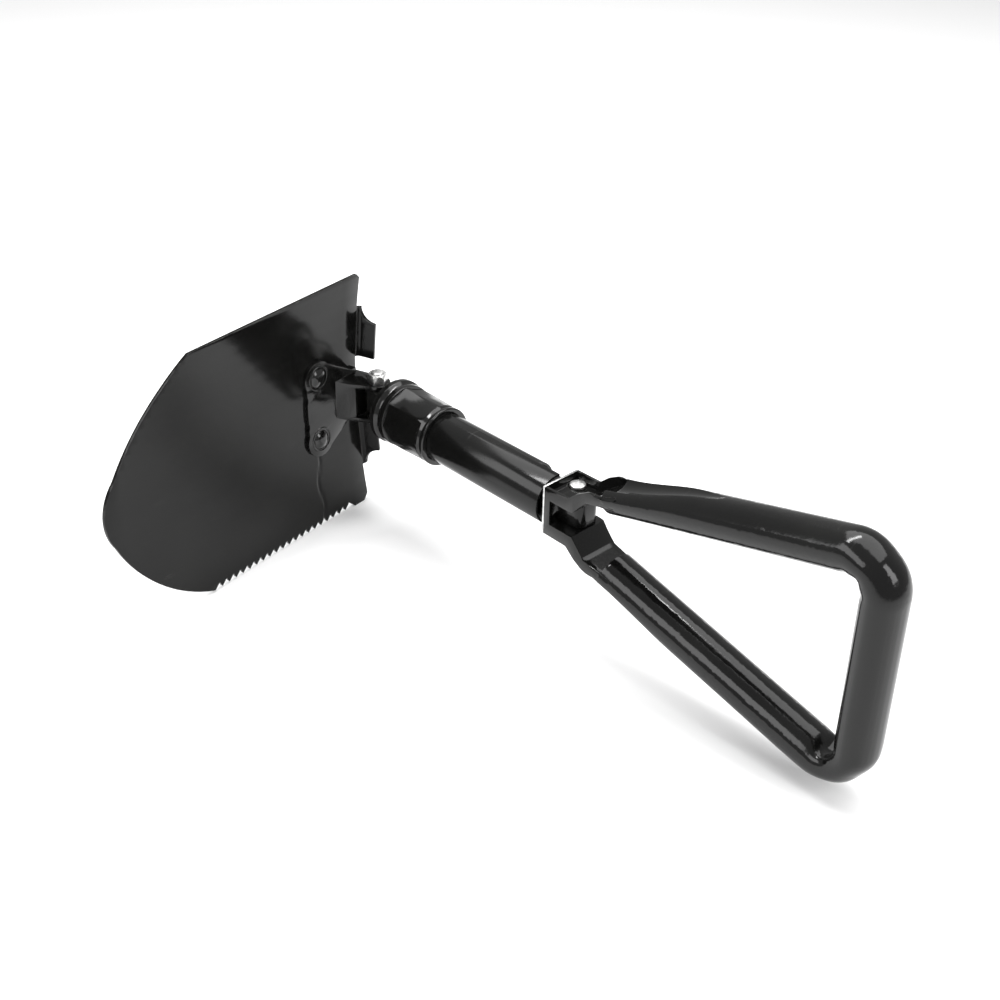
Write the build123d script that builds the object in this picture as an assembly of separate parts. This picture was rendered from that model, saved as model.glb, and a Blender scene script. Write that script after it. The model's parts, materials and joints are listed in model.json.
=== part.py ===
from build123d import *
import math
import os

# Folding camp shovel, in millimetres. +X runs along the shaft from the blade hinge to the grip,
# +Z is up, along both hinge pins, and the blade stands out to -Y in its hoe position.
# The shovel is drawn about the shaft axis, then moved so that the origin is the middle of its base.

# Shaft and hinges
TUBE_R = 15.4
TUBE_WALL = 1.5
TUBE_FRONT = 4.0
TUBE_BACK = 129.0
RUNNING = 0.06
HINGE_X = -28.0
PIN_R = 4.0
KNUCKLE_R = 8.0
TONGUE_HALF = 10.2

# Blade, in its own frame: s along the blade from the rear edge, n out of its hollow face, z up
BLADE_T = 2.0
BLADE_ANGLE = -80.8
BLADE_HALF = 79.5
REAR_HALF = 80.5
DISH_R = 448.0
PIN_S = 4.5
PIN_N = 23.0
SHOULDER_S = 139.0
TIP_S = 203.7
TIP_Z = -1.0
UPPER_TIP_ARC = (194.6, 20.5)
UPPER_SIDE_ARC = (172.9, 50.1)
LOWER_TIP_ARC = (198.8, -20.5)
LOWER_SIDE_ARC = (179.2, -51.4)
TOOTH_PITCH = 5.75
TOOTH_DEPTH = 3.4
TOOTH_FIRST_S = 18.0
TOOTH_COUNT = 21
TOOTH_EDGE = 79.4

# Foot steps on the rear edge
STEP_LOW = 21.4
STEP_HIGH = 56.2
STEP_RISE = 10.8
STEP_BEND_R = 3.0
STEP_BEND = 72.0
STEP_FLARE_R = 10.2

# Hinge bracket on the blade
BRACKET_T = 2.4
EAR_IN = 10.5
EAR_OUT = 13.0
RIVET_S = 36.4
RIVET_Z = 21.7
RIVET_R = 3.5
LOBE_R = 11.0
HOOD_TOP = 14.4

# Locking collar
COLLAR_FRONT = -12.6
COLLAR_BACK = 35.4
FLANGE_R = 20.5
COLLAR_BODY_R = 19.6
COLLAR_REAR_R = 18.5
COLLAR_FLAT = 17.7
COLLAR_FLATS = 8

# Handle
PIVOT_X = 138.5
PIVOT_Y = 8.0
PIVOT_R = 3.0
GRIP_ANGLE = 14.3
GRIP_APEX = 77.0
GRIP_BAR_X = 342.4
GRIP_BEND = 17.0
OVAL_Y = 13.5
OVAL_T = 11.3
GRIP_WALL = 1.6
YOKE_FRONT = 132.0
YOKE_NEAR = -13.1
YOKE_FAR = 13.8
YOKE_TOP = 15.2
YOKE_IN = 7.8
SHEET = 1.6
PIVOT_HEAD_R = 4.8
PIVOT_HEAD_T = 1.9

# Pins, nut and washer
PIN_TOP = EAR_OUT + 7.2
PIN_HEAD_R = 6.0
PIN_HEAD_T = 3.0
PIN_CHAMFER = 0.6
NUT_R = 6.4
NUT_T = 6.0
NUT_CONE_LOW = 8.2
NUT_CONE_HIGH = 5.4

# Smaller cuts and presses
KEY_Y = 8.0
SHOULDER_X = -0.5
HEAD_BACK = 34.0
BORE_R = 8.5
PIN_HOLE_X = 20.0
PIN_HOLE_R = 2.5
RELIEF_X = 112.0
RELIEF_Y = 3.0
BLOCK_HALF = 7.5
BLOCK_NEAR = -5.0
BLOCK_FAR = 10.8
BLOCK_BACK = 153.6
BLOCK_ROOT = 96.0
WASHER_R = 16.6
WASHER_FRONT = -12.4
WASHER_BACK = -10.8
PRESS_X = 176.0
TROUGH_RISE = 7.0
HOLLOW_X = 238.0


def slab(x, y, z):
    """A box from three (low, high) pairs."""
    low = (x[0], y[0], z[0])
    size = (x[1] - x[0], y[1] - y[0], z[1] - z[0])
    return Pos(*low) * Box(*size, align=(Align.MIN, Align.MIN, Align.MIN))


def rod_x(radius, x0, x1):
    """A cylinder on the shaft axis."""
    return Pos(x0, 0, 0) * Rot(0, 90, 0) * Cylinder(radius, x1 - x0, align=(Align.CENTER, Align.CENTER, Align.MIN))


def rod_z(radius, z0, z1, x=0.0, y=0.0):
    """An upright cylinder."""
    return Pos(x, y, z0) * Cylinder(radius, z1 - z0, align=(Align.CENTER, Align.CENTER, Align.MIN))


def prism_y(points, y0, y1):
    """A polygon drawn in x and z, carried from y0 to y1."""
    face = make_face(Polyline(*[(x, y0, z) for x, z in points], close=True))
    return extrude(face, y1 - y0, dir=(0, 1, 0))


def prism_z(points, z0, z1):
    """A polygon drawn in x and y, carried from z0 to z1."""
    face = make_face(Polyline(*[(x, y, z0) for x, y in points], close=True))
    return extrude(face, z1 - z0, dir=(0, 0, 1))


def mirrored(shape):
    """The same shape on the other side of the middle plane."""
    return mirror(shape, about=Plane.XY)


# ---------------------------------------------------------------- blade

def blade_place():
    """Carries the blade's own frame (s, n, z) to the shaft's frame in the hoe position."""
    return Pos(HINGE_X, 0, 0) * Rot(0, 0, BLADE_ANGLE) * Pos(-PIN_S, -PIN_N, 0)


def dished_plate(inner_r, outer_r):
    """A long trough about an axis parallel to s, hollow side to +n."""
    length = 2 * TIP_S
    ring = Cylinder(outer_r, length) - Cylinder(inner_r, length)
    return Pos(0, DISH_R, 0) * Rot(0, 90, 0) * ring


def sheet_from(outline, inner_r, outer_r):
    """The part of the trough inside an outline drawn in s and z."""
    prism = extrude(outline, 20, dir=(0, 1, 0)) + extrude(outline, 6, dir=(0, -1, 0))
    return dished_plate(inner_r, outer_r) & prism


def tooth_points():
    """Saw teeth along the lower edge, from the rear to the shoulder, each with one steep flank."""
    points = []
    for index in range(TOOTH_COUNT):
        start = TOOTH_FIRST_S + index * TOOTH_PITCH
        points.append((start, -TOOTH_EDGE + TOOTH_DEPTH))
        points.append((start + 0.75 * TOOTH_PITCH, -TOOTH_EDGE))
    return points


def blade_outline():
    """Straight sides, rounded tip, a toothed lower edge and clipped rear corners."""
    def at(s, z):
        return (s, 0, z)

    upper_shoulder = at(SHOULDER_S, BLADE_HALF)
    lower_shoulder = at(SHOULDER_S, -BLADE_HALF + 0.5)
    upper = Polyline(at(0, REAR_HALF - 3), at(3, REAR_HALF), upper_shoulder)
    upper_side = ThreePointArc(upper_shoulder, at(*UPPER_SIDE_ARC), at(*UPPER_TIP_ARC))
    tip = ThreePointArc(at(*UPPER_TIP_ARC), at(TIP_S, TIP_Z), at(*LOWER_TIP_ARC))
    lower_side = ThreePointArc(at(*LOWER_TIP_ARC), at(*LOWER_SIDE_ARC), lower_shoulder)
    teeth = [at(*point) for point in reversed(tooth_points())]
    corner = [at(13, -REAR_HALF), at(4, -REAR_HALF), at(0, -REAR_HALF + 4), at(0, REAR_HALF - 3)]
    lower = Polyline(lower_shoulder, *teeth, *corner)
    return make_face([upper, upper_side, tip, lower_side, lower])


def round_the_dish(z):
    """Carries the middle of the dished sheet round to the height z."""
    turn = -math.degrees(math.asin(z / DISH_R))
    return Pos(0, DISH_R, 0) * Rot(turn, 0, 0) * Pos(0, -DISH_R, 0)


def foot_step():
    """One forward-turned step: a bent strip, flared where it joins the rear edge."""
    turn = math.radians(STEP_BEND)

    def on_arc(radius, angle):
        return (-radius * math.sin(angle), STEP_BEND_R - radius * math.cos(angle))

    along = (-math.cos(turn), math.sin(turn))
    inner_r = STEP_BEND_R
    outer_r = STEP_BEND_R + BLADE_T
    inner_end = on_arc(inner_r, turn)
    outer_end = on_arc(outer_r, turn)
    straight = (STEP_RISE - inner_end[1]) / along[1]
    inner_tip = (inner_end[0] + straight * along[0], inner_end[1] + straight * along[1])
    outer_tip = (outer_end[0] + straight * along[0], outer_end[1] + straight * along[1])
    lead = 4.0
    edges = [
        Line((lead, 0), (0, 0)),
        ThreePointArc((0, 0), on_arc(inner_r, turn / 2), inner_end),
        Line(inner_end, inner_tip),
        Line(inner_tip, outer_tip),
        Line(outer_tip, outer_end),
        ThreePointArc(outer_end, on_arc(outer_r, turn / 2), (0, -BLADE_T)),
        Line((0, -BLADE_T), (lead, -BLADE_T)),
        Line((lead, -BLADE_T), (lead, 0)),
    ]
    half = (STEP_HIGH - STEP_LOW) / 2
    middle = (STEP_HIGH + STEP_LOW) / 2
    strip = extrude(Pos(0, 0, -half) * make_face(edges), 2 * half, dir=(0, 0, 1))
    flare = Pos(-15, STEP_RISE, half) * Rot(0, 90, 0) * Cylinder(
        STEP_FLARE_R, 40, align=(Align.CENTER, Align.CENTER, Align.MIN)
    )
    strip = strip - flare
    return round_the_dish(middle) * strip


def rivet_axis():
    """Carries z to n at the foot of the upper rivet, square to the dished sheet there."""
    return Pos(RIVET_S, 0, 0) * round_the_dish(RIVET_Z) * Rot(-90, 0, 0)


def rivet_hole():
    """The hole for the upper rivet through the bracket and the blade."""
    return rivet_axis() * rod_z(RIVET_R, -10, 10)


def make_blade():
    body = sheet_from(blade_outline(), DISH_R, DISH_R + BLADE_T)
    body = body + foot_step() + mirrored(foot_step())
    return body - rivet_hole() - mirrored(rivet_hole())


def bracket_outline():
    """A plate with a round lobe about each rivet and a waist between them."""
    def disc(radius, s, z):
        return Plane(origin=(s, 0, z), x_dir=(1, 0, 0), z_dir=(0, -1, 0)) * Circle(radius)

    def patch(*points):
        return make_face(Polyline(*[(s, 0, z) for s, z in points], close=True))

    edge = EAR_OUT + 2.5
    outline = patch((2, -edge), (46, -edge), (46, edge), (2, edge))
    for side in (1, -1):
        outline = outline + disc(LOBE_R, RIVET_S, side * RIVET_Z)
        outline = outline + patch((6, side * edge), (28, side * 28.5), (34, side * 20), (20, side * 8))
        outline = outline - disc(5.0, 50.3, side * 9.0)
    return outline


def make_bracket():
    plate = sheet_from(bracket_outline(), DISH_R - BRACKET_T, DISH_R)
    ear_shape = [(0.5, 0.8), (PIN_S - KNUCKLE_R, PIN_N), (PIN_S + KNUCKLE_R, PIN_N), (18.5, 11), (21.5, 1.2)]
    ear = prism_z(ear_shape, EAR_IN, EAR_OUT) + rod_z(KNUCKLE_R, EAR_IN, EAR_OUT, PIN_S, PIN_N)
    hood_shape = [(0.5, 1.2), (0.5, HOOD_TOP), (15.8, HOOD_TOP), (18.5, 11), (21.5, 1.2)]
    hollow = [(2.8, 0.8), (2.8, HOOD_TOP - 2.2), (14.8, HOOD_TOP - 2.2), (16.2, 10.4), (19.0, 0.8)]
    hood = prism_z(hood_shape, -EAR_IN, EAR_IN) - prism_z(hollow, -EAR_IN, EAR_IN)
    body = plate + ear + mirrored(ear) + hood
    body = body - rod_z(PIN_R, -20, 20, PIN_S, PIN_N)
    return body - rivet_hole() - mirrored(rivet_hole())


def make_blade_rivet():
    """A black round-headed rivet, closed flat on the back of the blade."""
    seat = BRACKET_T
    shank = rod_z(RIVET_R, -BLADE_T - 1.2, seat + 0.5)
    dome = Pos(0, 0, seat) * (Sphere(9.0) & slab((-6, 6), (-6, 6), (6.4, 9.0)))
    dome = Pos(0, 0, -6.35) * dome
    foot = rod_z(5.2, -BLADE_T - 1.4, -BLADE_T)
    return rivet_axis() * (shank + dome + foot)


def make_hinge_pin():
    """The pin across both ears, with a low round head underneath."""
    shank = rod_z(PIN_R, -EAR_OUT - 0.5, PIN_TOP, HINGE_X)
    head = rod_z(PIN_HEAD_R, -EAR_OUT - PIN_HEAD_T, -EAR_OUT, HINGE_X)
    return chamfer((shank + head).edges().group_by(Axis.Z)[-1], PIN_CHAMFER)


def make_hinge_nut():
    """The six-sided nut that the upper end of the pin is peened into."""
    upright = (Align.CENTER, Align.CENTER, Align.MIN)
    nut = extrude(Plane(origin=(HINGE_X, 0, EAR_OUT)) * RegularPolygon(NUT_R, 6), NUT_T)
    nut = nut & (Pos(HINGE_X, 0, EAR_OUT) * Cone(NUT_CONE_LOW, NUT_CONE_HIGH, NUT_T, align=upright))
    return nut - rod_z(PIN_R, EAR_OUT - 1, PIN_TOP, HINGE_X)


# ---------------------------------------------------------------- shaft


def make_hinge_head():
    """The forged end of the shaft: a flat tongue for the pin and a spigot inside the tube."""
    knuckle = rod_z(KNUCKLE_R, -TONGUE_HALF, TONGUE_HALF, HINGE_X)
    tongue = slab((HINGE_X, SHOULDER_X), (-KEY_Y, KEY_Y), (-TONGUE_HALF, TONGUE_HALF))
    shoulder = rod_x(TUBE_R, SHOULDER_X, TUBE_FRONT)
    spigot = rod_x(TUBE_R - TUBE_WALL, TUBE_FRONT, HEAD_BACK)
    body = knuckle + tongue + shoulder + spigot
    body = body - rod_z(PIN_R + 0.05, -20, 20, HINGE_X)
    body = body - rod_x(BORE_R, TUBE_FRONT + 2, HEAD_BACK + 1)
    return body - rod_z(PIN_HOLE_R, -20, 20, PIN_HOLE_X)


def make_head_pin():
    """The cross pin that keeps the hinge head in the tube, below the tube's surface."""
    return rod_z(PIN_HOLE_R, -TUBE_R + 0.5, TUBE_R - 0.5, PIN_HOLE_X)


def make_tube():
    """The shaft tube, cut away on the far side at the back so that the handle can swing round."""
    tube = rod_x(TUBE_R, TUBE_FRONT, TUBE_BACK) - rod_x(TUBE_R - TUBE_WALL, TUBE_FRONT - 1, TUBE_BACK + 1)
    tube = tube - slab((RELIEF_X, TUBE_BACK + 1), (RELIEF_Y, 20), (-20, 20))
    return tube - rod_z(PIN_HOLE_R, -20, 20, PIN_HOLE_X)


def make_handle_tongue():
    """The square tongue at the back of the tube, which the handle turns on."""
    body = slab((BLOCK_ROOT, BLOCK_BACK), (BLOCK_NEAR, BLOCK_FAR), (-BLOCK_HALF, BLOCK_HALF))
    body = body + rod_z(PIVOT_R + 3.2, -BLOCK_HALF, BLOCK_HALF, PIVOT_X, PIVOT_Y)
    corners = body.edges().filter_by(Axis.Z).group_by(Axis.X)[-1]
    body = fillet(corners, 5.0)
    seat = rod_x(TUBE_R - TUBE_WALL, BLOCK_ROOT + 8, TUBE_BACK - 3)
    seat = seat & slab((BLOCK_ROOT, TUBE_BACK), (-20, RELIEF_Y), (-20, 20))
    seat = seat & slab((BLOCK_ROOT, RELIEF_X), (-20, 20), (-20, 20))
    return body + seat - rod_z(PIVOT_R + 0.05, -20, 20, PIVOT_X, PIVOT_Y)


# ---------------------------------------------------------------- collar

def make_collar():
    """The collar that screws along the shaft: flange, step, eight flats and a rear ring."""
    profile = [
        (COLLAR_FRONT + 0.8, FLANGE_R - 0.8),
        (COLLAR_FRONT + 1.6, FLANGE_R),
        (COLLAR_FRONT + 4.6, FLANGE_R),
        (COLLAR_FRONT + 6.0, FLANGE_R - 1.0),
        (COLLAR_FRONT + 7.2, FLANGE_R - 1.6),
        (COLLAR_FRONT + 8.4, FLANGE_R - 0.9),
    ]
    neck_x = COLLAR_FRONT + 10.0
    flats_end = COLLAR_BACK - 5.0
    outline = [(COLLAR_FRONT, 0), (COLLAR_FRONT, FLANGE_R - 0.8), *profile]
    outline += [(neck_x, COLLAR_BODY_R), (flats_end, COLLAR_REAR_R), (flats_end + 1.2, COLLAR_REAR_R - 0.7)]
    outline += [(COLLAR_BACK - 3.0, COLLAR_REAR_R - 0.7), (COLLAR_BACK - 2.6, COLLAR_REAR_R + 0.1)]
    outline += [(COLLAR_BACK - 0.6, COLLAR_REAR_R + 0.1), (COLLAR_BACK, COLLAR_REAR_R - 0.5), (COLLAR_BACK, 0)]
    face = make_face(Polyline(*[(x, 0, r) for x, r in outline], close=True))
    body = revolve(face, Axis.X)
    for index in range(COLLAR_FLATS):
        panel = slab((neck_x + 2.0, flats_end - 1.5), (-10, 10), (COLLAR_FLAT, 25))
        body = body - Rot((index + 0.5) * 360 / COLLAR_FLATS, 0, 0) * panel
    body = body - rod_x(TUBE_R + RUNNING, COLLAR_FRONT - 1, COLLAR_BACK + 1)
    return body - rod_x(WASHER_R + 0.3, COLLAR_FRONT - 1, WASHER_BACK + 0.05)


def make_washer():
    """The thrust washer in the front of the collar, keyed to the tongue."""
    disc = rod_x(WASHER_R, WASHER_FRONT, WASHER_BACK)
    gap = 0.15
    key = slab((-20, 0), (-KEY_Y - gap, KEY_Y + gap), (-TONGUE_HALF - gap, TONGUE_HALF + gap))
    return disc - key


# ---------------------------------------------------------------- handle

def grip_z(x):
    """Height of the upper leg's centre line."""
    return (x - GRIP_APEX) * math.tan(math.radians(GRIP_ANGLE))


def oval_section(x, z, angle, thin):
    """An oval face at (x, z), square to a direction angle degrees above +X."""
    turn = math.radians(angle)
    along = (math.cos(turn), 0, math.sin(turn))
    plane = Plane(origin=(x, 0, z), x_dir=(0, 1, 0), z_dir=along)
    return plane * Ellipse(OVAL_Y - thin, OVAL_T - thin)


def oval_loop(start_x, thin):
    """Two legs, two bends and the end bar, with each half-axis of the oval reduced by thin."""
    angle = math.radians(GRIP_ANGLE)
    centre_x = GRIP_BAR_X - GRIP_BEND
    centre_z = grip_z(centre_x) - GRIP_BEND / math.cos(angle)
    end_x = centre_x - GRIP_BEND * math.sin(angle)
    length = (end_x - start_x) / math.cos(angle)
    leg = extrude(oval_section(start_x, grip_z(start_x), GRIP_ANGLE, thin), length)
    hub = Axis((centre_x, 0, centre_z), (0, 1, 0))
    bend = revolve(oval_section(end_x, grip_z(end_x), GRIP_ANGLE, thin), hub, 90 + GRIP_ANGLE)
    bar = extrude(oval_section(GRIP_BAR_X, centre_z, -90, thin), 2 * centre_z)
    return leg + bend + bar + mirrored(bend) + mirrored(leg)


def leg_end():
    """The flattened end of the upper leg: a tray over the tongue, then a ramp out to the oval leg."""
    shape = [
        (YOKE_FRONT, YOKE_TOP),
        (150.5, YOKE_TOP + 0.4),
        (157.0, 21.3),
        (164.0, 25.4),
        (PRESS_X + 8, grip_z(PRESS_X + 8) + 6),
        (PRESS_X + 8, grip_z(PRESS_X + 8) - 5.0),
        (164.0, 18.6),
        (154.5, YOKE_IN),
        (YOKE_FRONT, YOKE_IN),
    ]
    body = prism_y(shape, YOKE_NEAR, YOKE_FAR)
    floor = YOKE_IN + SHEET
    tray = [
        (YOKE_FRONT + SHEET, YOKE_TOP + 1),
        (YOKE_FRONT + SHEET, floor + 1.2),
        (YOKE_FRONT + SHEET + 1.2, floor),
        (152.0, floor),
        (158.0, floor + 5.0),
        (166.0, floor + 11.0),
        (PRESS_X + 9, grip_z(PRESS_X + 9)),
        (PRESS_X + 9, 60),
        (150.0, 60),
    ]
    return body - prism_y(tray, YOKE_NEAR + SHEET, YOKE_FAR - SHEET)


def make_handle():
    """One formed tube: two flattened ends round the tongue, two legs and the end bar."""
    grip = oval_loop(PRESS_X, 0.0)
    trough_axis = Pos(PRESS_X, 0, grip_z(PRESS_X) + 12.0) * Rot(0, 90 - GRIP_ANGLE - TROUGH_RISE, 0)
    trough = trough_axis * Cylinder(9.0, 140)
    grip = grip - trough - mirrored(trough) - oval_loop(HOLLOW_X, GRIP_WALL)
    strip = slab((YOKE_FRONT, YOKE_FRONT + 5.4), (YOKE_NEAR, YOKE_NEAR + SHEET), (-YOKE_TOP, YOKE_TOP))
    core_place = Pos(HOLLOW_X - 2, 0, grip_z(HOLLOW_X) - 3.0) * Rot(0, -90 - GRIP_ANGLE, 0)
    core = core_place * Cylinder(5.0, 56, align=(Align.CENTER, Align.CENTER, Align.MIN))
    body = grip - core - mirrored(core) + leg_end() + mirrored(leg_end()) + strip
    seat = rod_z(PIVOT_HEAD_R, YOKE_IN + SHEET, YOKE_TOP + 5, PIVOT_X, PIVOT_Y)
    return body - seat - mirrored(seat) - rod_z(PIVOT_R, -30, 30, PIVOT_X, PIVOT_Y)


def make_pivot():
    """The large rivet through the handle's two trays and the tongue."""
    top = YOKE_IN + SHEET
    shank = rod_z(PIVOT_R, -top - 1, top + 1, PIVOT_X, PIVOT_Y)
    head = rod_z(PIVOT_HEAD_R, top, top + PIVOT_HEAD_T, PIVOT_X, PIVOT_Y)
    body = shank + head + mirrored(head)
    rims = body.edges().group_by(Axis.Z)
    return chamfer(rims[0] + rims[-1], 0.5)


# ---------------------------------------------------------------- assembly

def all_parts():
    place = blade_place()
    rivet = make_blade_rivet()
    return {
        "blade": place * make_blade(),
        "blade_bracket": place * make_bracket(),
        "blade_rivet_upper": place * rivet,
        "blade_rivet_lower": place * mirrored(rivet),
        "hinge_pin": make_hinge_pin(),
        "hinge_nut": make_hinge_nut(),
        "hinge_head": make_hinge_head(),
        "head_pin": make_head_pin(),
        "shaft_tube": make_tube(),
        "collar_washer": make_washer(),
        "locking_collar": make_collar(),
        "handle_tongue": make_handle_tongue(),
        "handle_pivot": make_pivot(),
        "handle": make_handle(),
    }


def base_shift(parts):
    """Moves the origin to the middle of the base of the whole shovel."""
    boxes = [shape.bounding_box() for shape in parts.values()]
    low = [min(tuple(box.min)[axis] for box in boxes) for axis in range(3)]
    high = [max(tuple(box.max)[axis] for box in boxes) for axis in range(3)]
    return Pos(-(low[0] + high[0]) / 2, -(low[1] + high[1]) / 2, -low[2])


def main():
    os.makedirs("parts", exist_ok=True)
    parts = all_parts()
    shift = base_shift(parts)
    for name, shape in parts.items():
        export_step(shift * shape, "parts/" + name + ".step")


main()
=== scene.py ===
import json
import math

import bmesh
import bpy
from mathutils import Matrix, Vector, noise


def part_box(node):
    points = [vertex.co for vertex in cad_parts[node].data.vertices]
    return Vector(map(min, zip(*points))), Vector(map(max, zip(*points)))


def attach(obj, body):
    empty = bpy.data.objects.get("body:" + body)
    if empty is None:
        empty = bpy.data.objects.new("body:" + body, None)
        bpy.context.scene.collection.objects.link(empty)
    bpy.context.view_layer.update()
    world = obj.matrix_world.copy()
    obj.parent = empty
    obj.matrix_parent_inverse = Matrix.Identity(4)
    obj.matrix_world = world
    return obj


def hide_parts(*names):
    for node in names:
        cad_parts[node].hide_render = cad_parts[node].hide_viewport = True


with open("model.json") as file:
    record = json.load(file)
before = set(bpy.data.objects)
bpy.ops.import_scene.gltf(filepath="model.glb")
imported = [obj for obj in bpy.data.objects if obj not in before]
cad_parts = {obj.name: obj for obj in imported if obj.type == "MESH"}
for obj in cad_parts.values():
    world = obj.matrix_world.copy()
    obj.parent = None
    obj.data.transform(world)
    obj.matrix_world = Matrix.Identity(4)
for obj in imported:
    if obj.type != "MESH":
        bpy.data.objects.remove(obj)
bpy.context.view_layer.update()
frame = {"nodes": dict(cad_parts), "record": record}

MM = 0.001
ALONG_SHAFT = Vector((1, 0, 0))
ACROSS = Vector((0, 1, 0))
UP = Vector((0, 0, 1))
JOINTS = {joint["name"]: joint for joint in frame["record"]["behaviour"]["joints"]}
HINGE = Vector(JOINTS["blade_hinge"]["pos_m"])
HINGE_TO_SHAFT = 28.0
SHAFT_ORIGIN = HINGE + HINGE_TO_SHAFT * MM * ALONG_SHAFT

# The blade's own frame: along it from the rear edge, and outward from its hollow face
BLADE_TURN = math.radians(-80.8)
ALONG = Vector((math.cos(BLADE_TURN), math.sin(BLADE_TURN), 0))
OUTWARD = Vector((-math.sin(BLADE_TURN), math.cos(BLADE_TURN), 0))
PIN_ALONG = 4.5
PIN_OUTWARD = 23.0
DISH_RADIUS = 448.0
BLADE_ORIGIN = HINGE - PIN_ALONG * MM * ALONG - PIN_OUTWARD * MM * OUTWARD

# The grip, in mm from the shaft axis
LEG_LEAN = math.radians(14.3)
LEG_APEX = 77.0
OVAL = (13.5, 11.3)
BEND_HUB = (325.0, 46.2)
BEND_MIDDLE = 17.0
BEND_HALF = 10.5
BEND_REACH = (1.0, 42.0)
RAMP_START = 150.0
RAMP_END = 184.6
RAMP_LENGTH = 30.0
PRESS_END = 236.0


def corners(node):
    """Lowest and highest corner of a CAD node, as vectors."""
    low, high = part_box(node)
    return Vector(low), Vector(high)


# ---------------------------------------------------------------- materials

def shader_nodes(name):
    """A new material, its nodes, its links and its main shader."""
    material = bpy.data.materials.new(name)
    material.use_nodes = True
    nodes = material.node_tree.nodes
    return material, nodes, material.node_tree.links, nodes["Principled BSDF"]


def noise_node(nodes, links, scale, detail=4.0, stretch=(1, 1, 1)):
    """Noise in the object's own space, so it stays put as the piece moves."""
    place = nodes.new("ShaderNodeTexCoord")
    mapping = nodes.new("ShaderNodeMapping")
    mapping.inputs["Scale"].default_value = stretch
    texture = nodes.new("ShaderNodeTexNoise")
    texture.inputs["Scale"].default_value = scale
    texture.inputs["Detail"].default_value = detail
    links.new(place.outputs["Object"], mapping.inputs["Vector"])
    links.new(mapping.outputs["Vector"], texture.inputs["Vector"])
    return texture.outputs["Fac"]


def remap(nodes, links, value, low, high, out_low, out_high):
    """Stretches the part of a value between low and high on to a new range."""
    node = nodes.new("ShaderNodeMapRange")
    node.inputs["From Min"].default_value = low
    node.inputs["From Max"].default_value = high
    node.inputs["To Min"].default_value = out_low
    node.inputs["To Max"].default_value = out_high
    links.new(value, node.inputs["Value"])
    return node.outputs["Result"]


def blend_colour(nodes, links, mask, first, second):
    """Mixes two colours, or a colour and a socket, by a mask."""
    node = nodes.new("ShaderNodeMix")
    node.data_type = "RGBA"
    for socket, colour in ((node.inputs["A"], first), (node.inputs["B"], second)):
        if isinstance(colour, tuple):
            socket.default_value = (*colour, 1)
        else:
            links.new(colour, socket)
    links.new(mask, node.inputs["Factor"])
    return node.outputs["Result"]


def add_up(nodes, links, first, second, operation="ADD"):
    """Joins two values, each a number or a socket, by a sum or another operation."""
    node = nodes.new("ShaderNodeMath")
    node.operation = operation
    for socket, value in zip(node.inputs, (first, second)):
        if isinstance(value, (int, float)):
            socket.default_value = value
        else:
            links.new(value, socket)
    return node.outputs["Value"]


def bump(nodes, links, shader, height, strength, distance):
    """Lifts the surface's shading by a height, up to a distance in metres."""
    node = nodes.new("ShaderNodeBump")
    node.inputs["Strength"].default_value = strength
    node.inputs["Distance"].default_value = distance
    links.new(height, node.inputs["Height"])
    links.new(node.outputs["Normal"], shader.inputs["Normal"])


def worn_edges(nodes, links):
    """1 along sharp outer edges, broken up by noise, and 0 elsewhere."""
    round_normal = nodes.new("ShaderNodeBevel")
    round_normal.samples = 4
    round_normal.inputs["Radius"].default_value = 0.0007
    geometry = nodes.new("ShaderNodeNewGeometry")
    dot = nodes.new("ShaderNodeVectorMath")
    dot.operation = "DOT_PRODUCT"
    links.new(round_normal.outputs["Normal"], dot.inputs[0])
    links.new(geometry.outputs["Normal"], dot.inputs[1])
    edge = remap(nodes, links, dot.outputs["Value"], 0.995, 0.93, 0.0, 1.0)
    patchy = remap(nodes, links, noise_node(nodes, links, 260), 0.42, 0.62, 0.0, 1.0)
    return add_up(nodes, links, edge, patchy, "MULTIPLY")


def enamel(name, tone, rough, peel=0.06, wear=0.35, shine=0.5, dirt=1.0):
    """Baked black enamel: orange peel, uneven gloss, dust, fine scuffs and rubbed edges."""
    material, nodes, links, shader = shader_nodes(name)
    cloud = noise_node(nodes, links, 22)
    fine = noise_node(nodes, links, 700, 2.0)
    scratch = noise_node(nodes, links, 260, 3.0, (1.0, 0.06, 0.5))
    dust = remap(nodes, links, noise_node(nodes, links, 420, 5.0), 0.66, 0.8, 0.0, 0.4 * dirt)
    scuff = remap(nodes, links, scratch, 0.68, 0.78, 0.0, 0.35 * dirt)
    shade = remap(nodes, links, cloud, 0.3, 0.7, 0.0, 1.0)
    dark = tuple(tone * part for part in (0.8, 0.8, 0.78))
    light = tuple(tone * part for part in (1.5, 1.5, 1.42))
    base = blend_colour(nodes, links, shade, dark, light)
    marks = add_up(nodes, links, dust, scuff, "MAXIMUM")
    dusty = blend_colour(nodes, links, marks, base, (0.03, 0.03, 0.028))
    rubbed = add_up(nodes, links, worn_edges(nodes, links), wear, "MULTIPLY")
    colour = blend_colour(nodes, links, rubbed, dusty, (0.09, 0.09, 0.085))
    links.new(colour, shader.inputs["Base Color"])
    gloss = remap(nodes, links, cloud, 0.3, 0.7, rough * 0.8, rough * 1.25)
    gloss = add_up(nodes, links, gloss, add_up(nodes, links, scuff, 0.35, "MULTIPLY"))
    links.new(gloss, shader.inputs["Roughness"])
    shader.inputs["IOR"].default_value = 1.5
    shader.inputs["Specular IOR Level"].default_value = shine
    height = add_up(nodes, links, fine, add_up(nodes, links, cloud, 6.0, "MULTIPLY"))
    bump(nodes, links, shader, height, peel, 0.0004)
    return material


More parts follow.
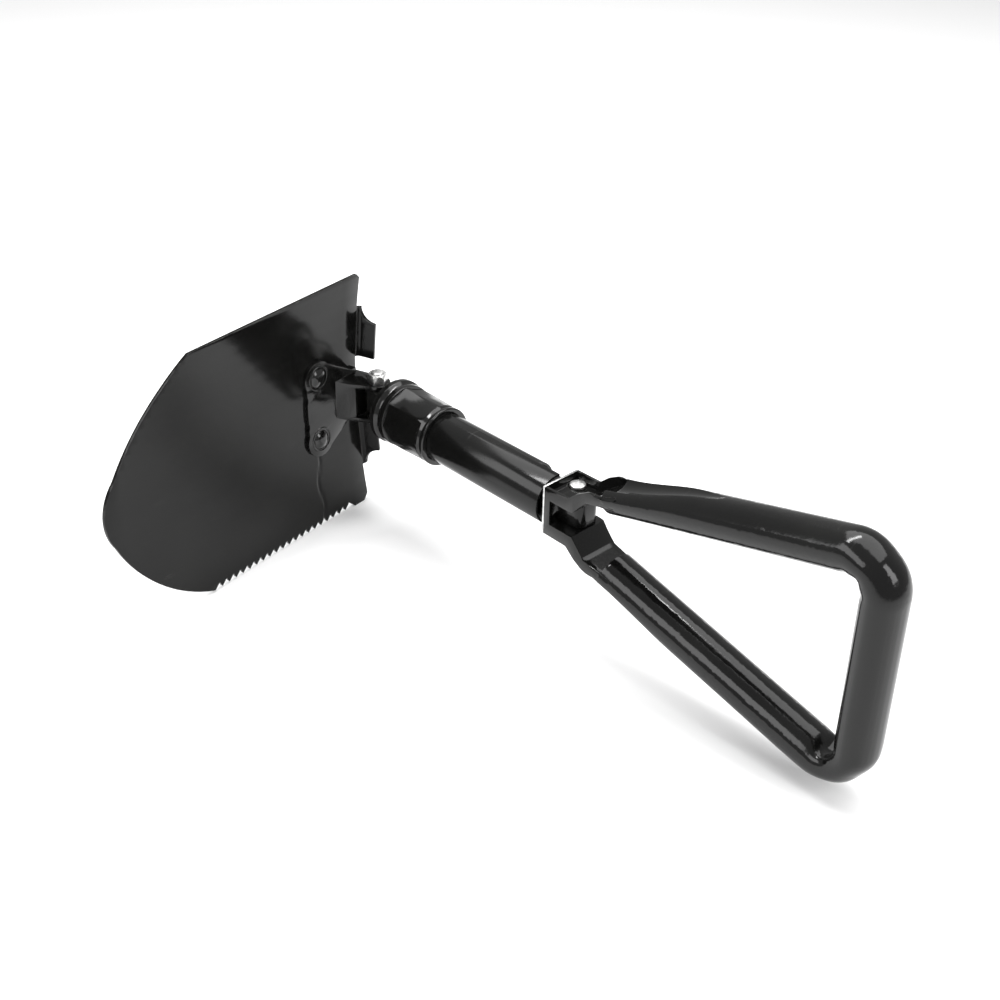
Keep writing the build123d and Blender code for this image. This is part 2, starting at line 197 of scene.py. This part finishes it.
def plated(name, tone, rough, grain):
    """Bright zinc plating, mottled and lightly hammered."""
    material, nodes, links, shader = shader_nodes(name)
    speckle = noise_node(nodes, links, grain, 6.0)
    broad = noise_node(nodes, links, 90)
    mask = remap(nodes, links, speckle, 0.4, 0.62, 0.0, 1.0)
    dark = tuple(tone * part for part in (0.62, 0.62, 0.62))
    light = tuple(tone * part for part in (1.0, 1.0, 0.98))
    links.new(blend_colour(nodes, links, mask, dark, light), shader.inputs["Base Color"])
    links.new(remap(nodes, links, broad, 0.3, 0.7, rough * 0.8, rough * 1.3), shader.inputs["Roughness"])
    shader.inputs["Metallic"].default_value = 1.0
    bump(nodes, links, shader, speckle, 0.45, 0.0004)
    return material


MATERIALS = {
    "blade_steel": enamel("blade_enamel", 0.004, 0.13, peel=0.035, wear=0.6, shine=0.2, dirt=0.5),
    "bracket_black": enamel("bracket_enamel", 0.004, 0.12, peel=0.1, shine=0.4),
    "rivet_black": enamel("rivet_enamel", 0.004, 0.1, peel=0.1, shine=0.5),
    "tube_black": enamel("tube_enamel", 0.004, 0.16, peel=0.04, shine=0.3),
    "grip_black": enamel("grip_enamel", 0.004, 0.12, peel=0.05, shine=0.34, dirt=0.6),
    "collar_black": enamel("collar_gloss", 0.004, 0.12, peel=0.04, shine=0.45),
    "zinc_steel": plated("zinc_plate", 0.9, 0.34, 900),
}
# Bright metal for the strip along the yoke's front rim, which makes a bright line there.
BRIGHT_RIM_PLATING = plated("bright_rim_plating", 0.85, 0.3, 500)


# ---------------------------------------------------------------- mesh tools

SLOT_OF = {part["node"]: part["material_slot"] for part in frame["record"]["subparts"]}
BODY_OF = {node: body for body, nodes in frame["record"]["behaviour"]["bodies"].items() for node in nodes}


def cad_mesh(node):
    """A copy of a CAD node's mesh with its seams joined and its flat faces made whole."""
    source = frame["nodes"][node]
    mesh = bmesh.new()
    mesh.from_mesh(source.data)
    mesh.transform(source.matrix_world)
    bmesh.ops.remove_doubles(mesh, verts=mesh.verts, dist=2e-6)
    bmesh.ops.dissolve_limit(mesh, angle_limit=math.radians(0.6), verts=mesh.verts, edges=mesh.edges)
    return mesh


def object_from(mesh, name, material):
    """An object of one material from a bmesh, linked to the scene."""
    data = bpy.data.meshes.new(name)
    bmesh.ops.recalc_face_normals(mesh, faces=mesh.faces)
    mesh.to_mesh(data)
    mesh.free()
    data.materials.append(material)
    made = bpy.data.objects.new(name, data)
    bpy.context.scene.collection.objects.link(made)
    return made


def settle(piece, sharp=40.0):
    """Applies a piece's modifiers and shades it smooth between sharp edges."""
    graph = bpy.context.evaluated_depsgraph_get()
    data = bpy.data.meshes.new_from_object(piece.evaluated_get(graph))
    piece.modifiers.clear()
    piece.data = data
    for polygon in data.polygons:
        polygon.use_smooth = True
    data.set_sharp_from_angle(angle=math.radians(sharp))


def soften(piece, width, segments=2, angle=32.0):
    """Rounds every edge sharper than an angle."""
    modifier = piece.modifiers.new("soften", "BEVEL")
    modifier.width = width
    modifier.segments = segments
    modifier.limit_method = "ANGLE"
    modifier.angle_limit = math.radians(angle)
    modifier.harden_normals = False
    settle(piece)


def triangulate_large(mesh):
    """Splits the faces of more than four corners, which bending leaves out of flat."""
    large = [face for face in mesh.faces if len(face.verts) > 4]
    bmesh.ops.triangulate(mesh, faces=large)


def grid_cut(mesh, low, high, spacing, direction):
    """Cuts a mesh across one direction at even steps, so that it can be bent smoothly."""
    for index in range(math.floor((high - low) / spacing) + 1):
        at = direction * (low + (index + 0.5) * spacing)
        geometry = mesh.verts[:] + mesh.edges[:] + mesh.faces[:]
        bmesh.ops.bisect_plane(mesh, geom=geometry, plane_co=at, plane_no=direction, dist=1e-6)


def smooth_step(value):
    """0 below zero, 1 above one, and an even curve between."""
    value = min(1.0, max(0.0, value))
    return value * value * (3 - 2 * value)


def bell(value, width):
    """1 at zero, falling away smoothly over the width."""
    return math.exp(-((value / width) ** 2))


def stand_for(piece, node):
    """Rides a piece on the node's body and shows it in the node's place."""
    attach(piece, BODY_OF[node])
    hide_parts(node)


def rounded_copy(node, width):
    """The CAD node's own shape with its edges broken, in place of the node."""
    piece = object_from(cad_mesh(node), node + "_finished", MATERIALS[SLOT_OF[node]])
    soften(piece, width)
    stand_for(piece, node)


# ---------------------------------------------------------------- pieces

EDGE_WIDTH_MM = {
    "blade_bracket": 0.5,
    "blade_rivet_upper": 0.3,
    "blade_rivet_lower": 0.3,
    "hinge_pin": 0.25,
    "hinge_nut": 0.3,
    "hinge_head": 0.8,
    "head_pin": 0.3,
    "shaft_tube": 0.3,
    "collar_washer": 0.2,
    "locking_collar": 0.3,
    "handle_tongue": 0.8,
    "handle_pivot": 0.35,
}

CREASE_PLACE = 39.0
CREASE_DEPTH = 0.55
CREASE_WIDTH = 0.9
CREASE_TOP = -29.0


def crease_depth(s, z):
    """Depth in mm of the wavy crease that runs from the lower rivet to the toothed edge."""
    centre = CREASE_PLACE + 1.6 * math.sin(0.21 * z) - 0.04 * (z + 33)
    reach = smooth_step((CREASE_TOP - z) / 6)
    return CREASE_DEPTH * reach * bell(s - centre, CREASE_WIDTH)


def sheet_wave(s, z):
    """Long faint waves left in the pressed sheet, in mm, fading out towards its edges."""
    broad = noise.noise(Vector((s / 55.0, z / 38.0, 0.4)))
    sides = smooth_step((76 - abs(z)) / 12)
    ends = smooth_step((s - 4) / 14) * smooth_step((190 - s) / 30)
    return 0.4 * sides * ends * broad


def make_blade():
    """The blade with its pressed waves and crease."""
    mesh = cad_mesh("blade")
    low, high = corners("blade")
    grid_cut(mesh, low.z, high.z, 4 * MM, UP)
    start = BLADE_ORIGIN.dot(ALONG)
    for first, last, spacing in ((10, 32, 5), (33, 46, 0.8), (48, 190, 5)):
        grid_cut(mesh, start + first * MM, start + last * MM, spacing * MM, ALONG)
    for vertex in mesh.verts:
        place = vertex.co - BLADE_ORIGIN
        s = place.dot(ALONG) / MM
        z = place.z / MM
        vertex.co -= OUTWARD * MM * (crease_depth(s, z) + sheet_wave(s, z))
    triangulate_large(mesh)
    piece = object_from(mesh, "blade_finished", MATERIALS[SLOT_OF["blade"]])
    soften(piece, 0.3 * MM, 2, 50.0)
    stand_for(piece, "blade")


RING_STEPS = 48
RING_SIDES = 12


def ring(name, centre, axis, radius, thick, material):
    """A closed ring of round section."""
    mesh = bmesh.new()
    side = axis.orthogonal().normalized()
    other = axis.cross(side)
    rows = []
    for step in range(RING_STEPS):
        turn = math.tau * step / RING_STEPS
        out = math.cos(turn) * side + math.sin(turn) * other
        row = []
        for corner in range(RING_SIDES):
            roll = math.tau * corner / RING_SIDES
            spread = radius + thick * math.cos(roll)
            row.append(mesh.verts.new(centre + out * spread + axis * thick * math.sin(roll)))
        rows.append(row)
    for i in range(RING_STEPS):
        for k in range(RING_SIDES):
            j, m = (i + 1) % RING_STEPS, (k + 1) % RING_SIDES
            mesh.faces.new((rows[i][k], rows[j][k], rows[j][m], rows[i][m]))
    piece = object_from(mesh, name, material)
    settle(piece, 60.0)
    return piece


BEAD_RADIUS = 7.6
BEAD_THICK = 0.7
BEAD_HEIGHT = 2.8


def make_beads():
    """A raised bead pressed round each blade rivet."""
    for node in ("blade_rivet_upper", "blade_rivet_lower"):
        low, high = corners(node)
        middle = (low + high) / 2
        lean = math.asin(-(middle.z - HINGE.z) / (DISH_RADIUS * MM))
        axis = (OUTWARD + UP * lean).normalized()
        depth = (middle - BLADE_ORIGIN).dot(OUTWARD)
        centre = middle - axis * (depth - BEAD_HEIGHT * MM)
        size = (BEAD_RADIUS * MM, BEAD_THICK * MM)
        piece = ring(node + "_bead", centre, axis, *size, MATERIALS["bracket_black"])
        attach(piece, "blade")


def crush(place, upper):
    """Moves a point of the grip, in mm from the shaft axis, as the crushed bends have it."""
    x, y, z = place
    out_x, out_z = x - BEND_HUB[0], abs(z) - BEND_HUB[1]
    reach = math.hypot(out_x, out_z)
    if not BEND_REACH[0] <= reach <= BEND_REACH[1]:
        return place
    turn = math.degrees(math.atan2(out_z, out_x))
    inner = smooth_step((BEND_MIDDLE - reach) / BEND_HALF)
    outer = smooth_step((reach - BEND_MIDDLE) / BEND_HALF)
    if upper:
        wrinkle = 0.7 * math.cos(math.radians(turn * 7)) * bell(turn - 52, 38) * bell(y + 8, 7)
        move = inner * 3.2 * bell(turn - 52, 34) * bell(y, 9) + wrinkle
        move -= outer * 1.2 * bell(turn - 55, 22)
    else:
        move = inner * 6.5 * bell(turn - 62, 44) * bell(y, 8.5)
        move -= outer * (2.2 + 3.2 * smooth_step(y / 10)) * bell(turn - 30, 20)
        move -= outer * 2.2 * bell(turn - 75, 26)
    scale = (reach + move) / reach
    return BEND_HUB[0] + out_x * scale, y, math.copysign(BEND_HUB[1] + out_z * scale, z)


def ease_ramp(place, sign):
    """Flows the pressed ramp behind the yoke into the oval leg on one side of the shaft."""
    x, y, z = place
    if x < RAMP_START or x > PRESS_END:
        return place
    middle = (x - LEG_APEX) * math.tan(LEG_LEAN)
    away = (sign * z - middle) * math.cos(LEG_LEAN)
    reach = math.hypot(y / OVAL[0], away / OVAL[1])
    if x <= RAMP_END and reach > 1.003:
        share = smooth_step((x - RAMP_START) / RAMP_LENGTH)
        scale = 1 + (0.97 / reach - 1) * share
        y, away = y * scale, away * scale
    if away > 0 and x > 165:
        flatten = (1 - smooth_step((x - 178) / 50)) * smooth_step((x - 165) / 8)
        away *= 1 - 0.42 * flatten
    return x, y, sign * (middle + away / math.cos(LEG_LEAN))


def make_handle():
    """The formed grip, with its legs eased out of the yoke and its bends crushed."""
    mesh = cad_mesh("handle")
    low, high = corners("handle")
    grid_cut(mesh, low.x + 150 * MM, high.x, 3 * MM, ALONG_SHAFT)
    grid_cut(mesh, low.x + 17 * MM, low.x + 54 * MM, 2 * MM, ALONG_SHAFT)
    grid_cut(mesh, low.y, high.y, 3 * MM, ACROSS)
    grid_cut(mesh, low.z, low.z + 52 * MM, 3 * MM, UP)
    grid_cut(mesh, high.z - 52 * MM, high.z, 3 * MM, UP)
    for vertex in mesh.verts:
        place = (vertex.co - SHAFT_ORIGIN) / MM
        eased = ease_ramp(tuple(place), 1 if place.z > 0 else -1)
        vertex.co = SHAFT_ORIGIN + MM * Vector(crush(eased, place.z > 0))
    triangulate_large(mesh)
    piece = object_from(mesh, "handle_finished", MATERIALS[SLOT_OF["handle"]])
    soften(piece, 0.5 * MM, 2, 42.0)
    stand_for(piece, "handle")


YOKE_NEAR = -13.1
YOKE_TOP = 15.2


def make_bright_rim_strip():
    """A thin strip of bright metal along the sheared front rim of the yoke, making a bright line along
    that edge.
    """
    low = corners("handle")[0]
    front = (low.x - SHAFT_ORIGIN.x) / MM
    near, top = YOKE_NEAR, YOKE_TOP
    across = ((front + 0.1, front + 1.4), (near, 13.6), (top - 0.1, top + 0.12))
    down = ((front + 0.1, front + 1.3), (near - 0.12, near + 0.1), (-top + 0.2, top))
    mesh = bmesh.new()
    for spans in (across, down):
        size = Vector([high_end - low_end for low_end, high_end in spans])
        centre = Vector([(high_end + low_end) / 2 for low_end, high_end in spans])
        made = bmesh.ops.create_cube(mesh, size=1.0)["verts"]
        for vertex in made:
            vertex.co = SHAFT_ORIGIN + MM * (centre + Vector([c * d for c, d in zip(vertex.co, size)]))
    piece = object_from(mesh, "yoke_bright_rim_strip", BRIGHT_RIM_PLATING)
    soften(piece, 0.08 * MM, 2)
    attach(piece, "handle")


for node_name, width_mm in EDGE_WIDTH_MM.items():
    rounded_copy(node_name, width_mm * MM)

make_blade()
make_beads()
make_handle()
make_bright_rim_strip()


# ---------------------------------------------------------------- stage, light and camera

FLOOR_HALF = 4.0


def make_floor():
    """A plain pale floor."""
    material, nodes, links, shader = shader_nodes("floor_white")
    grain = noise_node(nodes, links, 30)
    links.new(remap(nodes, links, grain, 0.2, 0.8, 0.55, 0.65), shader.inputs["Roughness"])
    shader.inputs["Base Color"].default_value = (0.93, 0.93, 0.93, 1)
    shader.inputs["Specular IOR Level"].default_value = 0.1
    mesh = bmesh.new()
    bmesh.ops.create_grid(mesh, x_segments=1, y_segments=1, size=FLOOR_HALF)
    floor = object_from(mesh, "floor", material)


def area_light(name, place, aim, size, power):
    """A rectangular soft light that faces a point."""
    data = bpy.data.lights.new(name, "AREA")
    data.shape = "RECTANGLE"
    data.size = size[0]
    data.size_y = size[1]
    data.energy = power
    light = bpy.data.objects.new(name, data)
    light.location = place
    light.rotation_euler = (Vector(aim) - Vector(place)).to_track_quat("-Z", "Y").to_euler()
    bpy.context.scene.collection.objects.link(light)


def make_light():
    """An even white room, a large light overhead, a strip for the highlights, and two fills."""
    world = bpy.data.worlds.new("studio")
    bpy.context.scene.world = world
    world.use_nodes = True
    background = world.node_tree.nodes["Background"]
    background.inputs["Color"].default_value = (1, 1, 1, 1)
    background.inputs["Strength"].default_value = 0.5
    area_light("overhead", (-0.1, 0.5, 1.5), (0, 0, 0.05), (1.9, 1.3), 24)
    area_light("strip", (-0.25, 0.1, 1.25), (0, 0, 0.05), (0.9, 0.12), 9)
    area_light("side", (1.4, 0.3, 1.0), (0, 0, 0.08), (0.5, 0.9), 9)
    area_light("fill", (-0.5, -1.3, 1.1), (0, -0.2, 0), (1.4, 0.9), 16)


CAMERA_FROM_HINGE = Vector((0.65365, -0.51858, 0.44953))
CAMERA_DOWN = 32.155
CAMERA_TURN = -46.245
CAMERA_ROLL = 0.90
CAMERA_LENS = 54.0


def make_camera():
    """The camera, looking down and across the shovel from beyond the grip."""
    pitch, yaw, roll = (math.radians(a) for a in (CAMERA_DOWN, CAMERA_TURN, CAMERA_ROLL))
    flat = Vector((math.sin(yaw), math.cos(yaw), 0))
    ahead = flat * math.cos(pitch) - UP * math.sin(pitch)
    level = Vector((math.cos(yaw), -math.sin(yaw), 0))
    above = level.cross(ahead)
    right = math.cos(roll) * level + math.sin(roll) * above
    top = -math.sin(roll) * level + math.cos(roll) * above
    data = bpy.data.cameras.new("camera")
    data.lens = CAMERA_LENS
    data.sensor_width = 36.0
    camera = bpy.data.objects.new("camera", data)
    turn = Matrix((right, top, -ahead)).transposed()
    camera.matrix_world = Matrix.Translation(HINGE + CAMERA_FROM_HINGE) @ turn.to_4x4()
    bpy.context.scene.collection.objects.link(camera)
    bpy.context.scene.camera = camera


make_floor()
make_light()
make_camera()
bpy.context.scene.view_settings.view_transform = "Standard"
